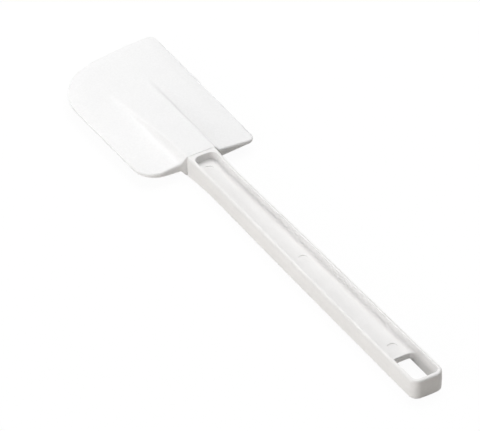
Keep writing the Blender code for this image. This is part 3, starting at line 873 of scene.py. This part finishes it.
HEEL_DRAFT, LEAN_LENGTH, SEAM_COVER = tan(radians(7.0)), 0.0040, 0.0002
half_columns = len(across_places(0.0, NEAR_REACH))
COLUMN_COUNT = 2 * half_columns - 1
bpy.ops.mesh.primitive_grid_add(x_subdivisions=ROW_COUNT - 1, y_subdivisions=COLUMN_COUNT - 1,
                                size=2.0, location=CENTRE)
blade = bpy.context.object
blade.name = "rubber_blade"
for vertex in blade.data.vertices:
    row = rows[round((1.0 - vertex.co.x) / 2 * (ROW_COUNT - 1))]
    across = round((vertex.co.y + 1.0) / 2 * (COLUMN_COUNT - 1)) - (half_columns - 1)
    distance, y = lay_point(row, abs(across), -1 if across < 0 else 1)
    half = blade_half_thickness(distance, y)
    foot = hub_foot(0.0, y)
    lean = SEAM_COVER * foot - half * HEEL_DRAFT * (1.0 - foot)
    lean *= max(0.0, 1.0 - distance / LEAN_LENGTH)
    vertex.co = (HEEL_X - distance + lean, y, half)
print(len(blade.data.polygons), "faces between the edges")

# %% [markdown]
# ## The sides and the lower half
# The open border of the net is extruded straight down to the parting plane. Row by row the
# net already leans at the heel, because the wings left the mould upward and downward, so the
# faces of the two halves meet there in a low ridge once the half is mirrored.

# %% Close the blade's sides
HEEL_RIDGE = WING_ROOT_HALF * HEEL_DRAFT


def on_ridge(vertex):
    """A low point of the wings' heel, between the rounded corners."""
    return (vertex.co.z < MERGE and abs(vertex.co.x - HEEL_X + HEEL_RIDGE / 2) < HEEL_RIDGE / 2
            and HEEL_LARGE_RADIUS - NEAR_REACH < vertex.co.y < reach(1, 0.0) - HEEL_SMALL_RADIUS)


start_editing(blade)
pick("EDGE", lambda edge: edge.is_boundary)
bpy.ops.mesh.extrude_edges_move(TRANSFORM_OT_translate={"value": (0.0, 0.0, -MERGE)})
narrow_picked(lambda vertex: vertex.is_boundary)
flatten_picked(Z, PARTING_Z)
pick_all()
bpy.ops.mesh.normals_make_consistent()
print(pick("VERT", on_ridge), "points on the ridge")
flatten_picked(X, HEEL_X)
stop_editing()
apply_modifier(blade, "MIRROR", use_axis=(False, False, True), merge_threshold=MERGE)
print(len(blade.data.polygons), "faces in the whole blade")

# %% [markdown]
# ## The socket
# The heel is hollow where the tang goes in. Unlike the outer faces this is a plain hole in a
# flat face, so a Boolean with a tapered block, a little larger than the tang, is enough.

# %% Cut the socket
SOCKET_CLEARANCE = 0.0003
socket_end_x = HANDLE_X - TANG_LENGTH - SOCKET_CLEARANCE
root_size = TANG_HALF_WIDTH + SOCKET_CLEARANCE, TANG_HALF + SOCKET_CLEARANCE
end_size = TANG_END_HALF_WIDTH + SOCKET_CLEARANCE, TANG_END_HALF + SOCKET_CLEARANCE
bpy.ops.mesh.primitive_cube_add(size=2.0, location=CENTRE)
socket = bpy.context.object
start_editing(socket)
pick_all()
scale_picked((1.0, *root_size))
pick("VERT", lambda vertex: vertex.co.x > 0.0)
move_picked(HANDLE_X - 1.0)
pick("VERT", lambda vertex: vertex.co.x < -0.5)
move_picked(socket_end_x + 1.0)
scale_picked((1.0, end_size[0] / root_size[0], end_size[1] / root_size[1]))
pick("EDGE", lambda edge: extent(edge, X) > TANG_LENGTH / 2)
bevel_picked(TANG_EDGE_RADIUS, TANG_EDGE_STEPS)
stop_editing()
cut_away(blade, socket)
print(len(blade.data.polygons), "faces with the socket")

# %% [markdown]
# ## Put the pieces in place
# Both pieces were modelled around the parting plane. Their place now goes into their meshes,
# and their curved faces are shaded smooth up to an angle, so that true edges stay crisp.

# %% Apply places and shade
SHARP_ANGLE = radians(38)
for item in (handle, blade):
    item.location.y = AXIS_Y
    make_active(item)
    bpy.ops.object.transform_apply()
    bpy.ops.object.shade_smooth_by_angle(angle=SHARP_ANGLE)
apply_modifier(handle, "WEIGHTED_NORMAL", keep_sharp=True, weight=50)

# %% [markdown]
# ## A moulded surface
# Both finishes come out of a mould, so they share one effect: a fine grain left by the
# mould's own surface, slow flow marks along the length, and a faint unevenness of tone,
# in wide clouds and in specks a millimetre across, as in the photograph.
# It is a node group with its own sockets, placed in each material with different values.

# %% Build the shared group
def add_node(tree, kind, values=None, **settings):
    """A new node with its settings and the values of its input sockets."""
    node = tree.nodes.new(kind)
    for name, value in settings.items():
        setattr(node, name, value)
    for name, value in (values or {}).items():
        node.inputs[name].default_value = value
    return node


def wire(tree, *links):
    """Makes links, each told as (node, output, next node, input)."""
    for node, output, next_node, entry in links:
        tree.links.new(node.outputs[output], next_node.inputs[entry])


INPUTS = {"Place": "Vector", "Pale Tone": "Color", "Deep Tone": "Color", "Tone Scale": "Float",
          "Grain Scale": "Float", "Smoothest": "Float", "Roughest": "Float",
          "Flow Depth": "Float", "Speckle Scale": "Float", "Speckle Share": "Float"}
OUTPUTS = {"Tone": "Color", "Roughness": "Float", "Height": "Float"}
FLOW_STRETCH = (22.0, 260.0, 260.0)


def moulded_surface_group():
    """Grain, flow marks and uneven tone of a moulded surface."""
    group = bpy.data.node_groups.new("moulded_surface", "ShaderNodeTree")
    for end, sockets in (("INPUT", INPUTS), ("OUTPUT", OUTPUTS)):
        for name, kind in sockets.items():
            group.interface.new_socket(name=name, in_out=end, socket_type="NodeSocket" + kind)
    source = add_node(group, "NodeGroupInput")
    result = add_node(group, "NodeGroupOutput")

    tone = add_node(group, "ShaderNodeTexNoise", {"Detail": 3.0})
    speckle = add_node(group, "ShaderNodeTexNoise", {"Detail": 1.0})
    both = add_node(group, "ShaderNodeMix", data_type="FLOAT")
    contrast = add_node(group, "ShaderNodeMapRange", {"From Min": 0.38, "From Max": 0.62},
                        interpolation_type="SMOOTHSTEP")
    mix = add_node(group, "ShaderNodeMix", data_type="RGBA")
    wire(group, (source, "Place", tone, "Vector"), (source, "Tone Scale", tone, "Scale"),
         (source, "Place", speckle, "Vector"), (source, "Speckle Scale", speckle, "Scale"),
         (source, "Speckle Share", both, "Factor"), (tone, "Fac", both, "A"),
         (speckle, "Fac", both, "B"), (both, "Result", contrast, "Value"),
         (contrast, "Result", mix, "Factor"), (source, "Deep Tone", mix, "A"),
         (source, "Pale Tone", mix, "B"), (mix, "Result", result, "Tone"))

    stretch = add_node(group, "ShaderNodeMapping", {"Scale": FLOW_STRETCH})
    flow = add_node(group, "ShaderNodeTexNoise", {"Scale": 1.0, "Detail": 2.0})
    rough = add_node(group, "ShaderNodeMapRange", {"From Min": 0.3, "From Max": 0.7})
    grain = add_node(group, "ShaderNodeTexNoise", {"Detail": 2.0})
    height = add_node(group, "ShaderNodeMath", operation="MULTIPLY_ADD")
    wire(group, (source, "Place", stretch, "Vector"), (stretch, "Vector", flow, "Vector"),
         (flow, "Fac", rough, "Value"), (source, "Smoothest", rough, "To Min"),
         (source, "Roughest", rough, "To Max"), (rough, "Result", result, "Roughness"),
         (source, "Place", grain, "Vector"), (source, "Grain Scale", grain, "Scale"),
         (flow, "Fac", height, 0), (source, "Flow Depth", height, 1),
         (grain, "Fac", height, 2), (height, "Value", result, "Height"))
    return group


moulded = moulded_surface_group()
print(len(moulded.nodes), "nodes in the moulded surface group")

# %% [markdown]
# ## The two finishes
# The handle is a hard, slightly glossy white plastic. The blade is a softer, matter white
# rubber with a finer grain. Both are plain Principled shaders: the group feeds the base
# colour and the roughness, and its height goes through a Bump node. White rubber lets a
# little light through where it is thin, so the wings look paler than the hub. Subsurface
# light would show that too, but slowly, so a painted shade darkens the hub's base colour instead.

# %% Make the finishes
def moulded_material(name, bump_distance, values):
    """A Principled material over the moulded surface group."""
    material = bpy.data.materials.new(name)
    material.use_nodes = True
    tree = material.node_tree
    shader = tree.nodes["Principled BSDF"]
    place = add_node(tree, "ShaderNodeTexCoord")
    surface = add_node(tree, "ShaderNodeGroup", values, node_tree=moulded)
    bump = add_node(tree, "ShaderNodeBump", {"Distance": bump_distance})
    wire(tree, (place, "Object", surface, "Place"), (surface, "Tone", shader, "Base Color"),
         (surface, "Roughness", shader, "Roughness"), (surface, "Height", bump, "Height"),
         (bump, "Normal", shader, "Normal"))
    return material


def paint_shade_on_thick_hub(material):
    """Darkens the thick hub's base colour a little against the thin wings: a painted shade."""
    tree = material.node_tree
    shader = tree.nodes["Principled BSDF"]
    surface = shader.inputs["Base Color"].links[0].from_node
    place = add_node(tree, "ShaderNodeTexCoord")
    parts = add_node(tree, "ShaderNodeSeparateXYZ")
    offset = add_node(tree, "ShaderNodeMath", {1: AXIS_Y}, operation="SUBTRACT")
    side = add_node(tree, "ShaderNodeMath", operation="ABSOLUTE")
    ramps = [add_node(tree, "ShaderNodeMapRange", {"From Min": none, "From Max": full},
                      interpolation_type="SMOOTHSTEP")
             for none, full in ((HUB_HALF_WIDTH + HUB_FILLET, HUB_HALF_WIDTH),
                                (HEEL_X - HUB_LENGTH, HEEL_X - HUB_FLAT_LENGTH))]
    hub = add_node(tree, "ShaderNodeMath", operation="MULTIPLY")
    mix = add_node(tree, "ShaderNodeMix", data_type="RGBA", blend_type="MULTIPLY")
    # The hub's painted shade multiplies its base colour.
    mix.inputs["B"].default_value = HUB_PAINTED_SHADE
    wire(tree, (place, "Object", parts, "Vector"), (parts, "Y", offset, 0),
         (offset, "Value", side, 0), (side, "Value", ramps[0], "Value"),
         (parts, "X", ramps[1], "Value"), (ramps[0], "Result", hub, 0),
         (ramps[1], "Result", hub, 1), (hub, "Value", mix, "Factor"),
         (surface, "Tone", mix, "A"), (mix, "Result", shader, "Base Color"))


plastic = moulded_material("white_handle_plastic", 0.000012, {
    "Pale Tone": (0.858, 0.850, 0.843, 1.0), "Deep Tone": (0.830, 0.822, 0.815, 1.0),
    "Tone Scale": 55.0, "Grain Scale": 1800.0, "Smoothest": 0.33, "Roughest": 0.45,
    "Flow Depth": 0.2, "Speckle Scale": 700.0, "Speckle Share": 0.35})
rubber = moulded_material("white_blade_rubber", 0.000014, {
    "Pale Tone": (0.908, 0.907, 0.907, 1.0), "Deep Tone": (0.880, 0.879, 0.879, 1.0),
    "Tone Scale": 40.0, "Grain Scale": 2600.0, "Smoothest": 0.52, "Roughest": 0.62,
    "Flow Depth": 0.3, "Speckle Scale": 850.0, "Speckle Share": 0.65})
# Painted shade on the hub: its base colour is multiplied by this.
HUB_PAINTED_SHADE = (0.978, 0.978, 0.978, 1.0)
paint_shade_on_thick_hub(rubber)
for item, material in ((handle, plastic), (blade, rubber)):
    item.data.materials.clear()
    item.data.materials.append(material)

# %% [markdown]
# ## Joints
# The handle piece rides on the handle's body. The blade is one moulding that bends, so it
# blends between its root, which grips the tang, and its tip, which flexes. The bend starts
# just ahead of the hinge line and spreads over the thin part of the blade.

# %% Ride and blend
BEND_START, BEND_END = 0.066, 0.108
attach(handle, "handle")
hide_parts("handle")
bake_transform(blade, "blade_root", "blade_tip", start=(HEEL_X - BEND_START, AXIS_Y, PARTING_Z),
         end=(HEEL_X - BEND_END, AXIS_Y, PARTING_Z))
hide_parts("blade_root", "blade_tip")

# %% [markdown]
# ## Floor and background
# A product photograph on pure white still has a floor under it. The floor here is a pale
# matte sheet that catches a faint contact shadow. For what the camera sees directly it also
# glows just enough that the unshadowed floor reaches white, and the world does the same
# beyond it. From below it is left open.

# %% Lay the floor
FLOOR_SIZE = 6.0
BOUNCED_COLOUR, SHOWN_COLOUR = (0.60, 0.58, 0.55, 1.0), (0.05, 0.05, 0.05, 1.0)
FLOOR_GLOW = 0.955
bpy.ops.mesh.primitive_plane_add(size=FLOOR_SIZE, location=(0.0, 0.0, 0.0))
floor = bpy.context.object
floor.name = "floor"


def seen_directly(tree):
    """Gives 1 for camera, glossy and transmission rays, and 0 for light on things."""
    path = add_node(tree, "ShaderNodeLightPath")
    first = add_node(tree, "ShaderNodeMath", operation="MAXIMUM")
    second = add_node(tree, "ShaderNodeMath", operation="MAXIMUM")
    wire(tree, (path, "Is Camera Ray", first, 0), (path, "Is Glossy Ray", first, 1),
         (first, "Value", second, 0), (path, "Is Transmission Ray", second, 1))
    return second


def floor_material():
    """Matte grey to the light that bounces off it, and to the camera nearly white."""
    material = bpy.data.materials.new("pale_floor")
    material.use_nodes = True
    tree = material.node_tree
    tree.nodes.remove(tree.nodes["Principled BSDF"])
    bounce = add_node(tree, "ShaderNodeBsdfDiffuse", {"Color": BOUNCED_COLOUR})
    shown = add_node(tree, "ShaderNodeBsdfDiffuse", {"Color": SHOWN_COLOUR})
    glow = add_node(tree, "ShaderNodeEmission", {"Strength": FLOOR_GLOW})
    total = add_node(tree, "ShaderNodeAddShader")
    choose = add_node(tree, "ShaderNodeMixShader")
    under = add_node(tree, "ShaderNodeNewGeometry")
    clear = add_node(tree, "ShaderNodeBsdfTransparent")
    sided = add_node(tree, "ShaderNodeMixShader")
    wire(tree, (shown, "BSDF", total, 0), (glow, "Emission", total, 1),
         (seen_directly(tree), "Value", choose, "Fac"), (bounce, "BSDF", choose, 1),
         (total, "Shader", choose, 2), (under, "Backfacing", sided, "Fac"),
         (choose, "Shader", sided, 1), (clear, "BSDF", sided, 2),
         (sided, "Shader", tree.nodes["Material Output"], "Surface"))
    return material


floor.data.materials.append(floor_material())

# %% [markdown]
# ## Light and camera
# The photograph was lit as small goods often are: large soft sources behind, to the left and
# on the near side, and almost nothing from the right, so the end of the handle and the heel
# of the blade fall dark. Four large lamps and three low ones do that, with the light that the
# floor throws back and a faint world in the rest. One bigger lamp would be simpler, but it
# leaves the walls too dark or the top too bright. The camera stands far away with a long
# lens, as the nearly parallel edges of the handle show.

# %% Light the scene
WORLD_FILL = 0.05
world = bpy.data.worlds.new("soft_surroundings")
bpy.context.scene.world = world
world.use_nodes = True
tree = world.node_tree
background = tree.nodes["Background"]
background.inputs["Color"].default_value = (1.0, 1.0, 1.0, 1.0)
strength = add_node(tree, "ShaderNodeMapRange", {"To Min": WORLD_FILL, "To Max": 1.0})
wire(tree, (seen_directly(tree), "Value", strength, "Value"),
     (strength, "Result", background, "Strength"))

LAMP_DISTANCE, HIGH_SIZE, LOW_SIZE = 2.6, 1.8, 0.9
WHITE, WARM = (1.0, 1.0, 1.0), (1.0, 0.94, 0.88)
LAMPS = [("lamp_behind", 110, 60, HIGH_SIZE, 36.0, WHITE),
         ("lamp_behind_left", 150, 55, HIGH_SIZE, 12.5, WHITE),
         ("lamp_left", 180, 60, HIGH_SIZE, 12.0, WHITE),
         ("lamp_near", 270, 32, HIGH_SIZE, 23.0, WHITE),
         ("lamp_near_low", 270, 10, LOW_SIZE, 16.5, WHITE),
         ("lamp_left_low", 180, 10, LOW_SIZE, 7.0, WHITE),
         ("lamp_right_low", 315, 10, LOW_SIZE, 8.0, WARM)]
for name, turn, height, size, power, colour in LAMPS:
    level = cos(radians(height))
    toward = Vector((cos(radians(turn)) * level, sin(radians(turn)) * level, sin(radians(height))))
    bpy.ops.object.light_add(type="AREA", location=toward * LAMP_DISTANCE)
    lamp = bpy.context.object
    lamp.name = name
    lamp.data.size = size
    lamp.data.energy = power
    lamp.data.color = colour
    lamp.rotation_mode = "QUATERNION"
    lamp.rotation_quaternion = toward.to_track_quat("Z", "Y")
print(len(LAMPS), "lamps")

# %% Place the camera
CAMERA_BACK = Vector((0.66651, -0.41655, 0.61826)).normalized()
CAMERA_AIM, CAMERA_DISTANCE = Vector((-0.00425, -0.00856, 0.0067)), 2.779
CAMERA_LENS = 381.87
bpy.ops.object.camera_add(location=CAMERA_AIM + CAMERA_BACK * CAMERA_DISTANCE)
camera = bpy.context.object
camera.rotation_mode = "QUATERNION"
camera.rotation_quaternion = (-CAMERA_BACK).to_track_quat("-Z", "Y")
camera.data.sensor_width = 36.0
camera.data.lens = CAMERA_LENS
camera.data.clip_start, camera.data.clip_end = 0.1, 20.0
bpy.context.scene.camera = camera
bpy.context.scene.view_settings.view_transform = "Standard"
print("camera", CAMERA_DISTANCE, "m away")
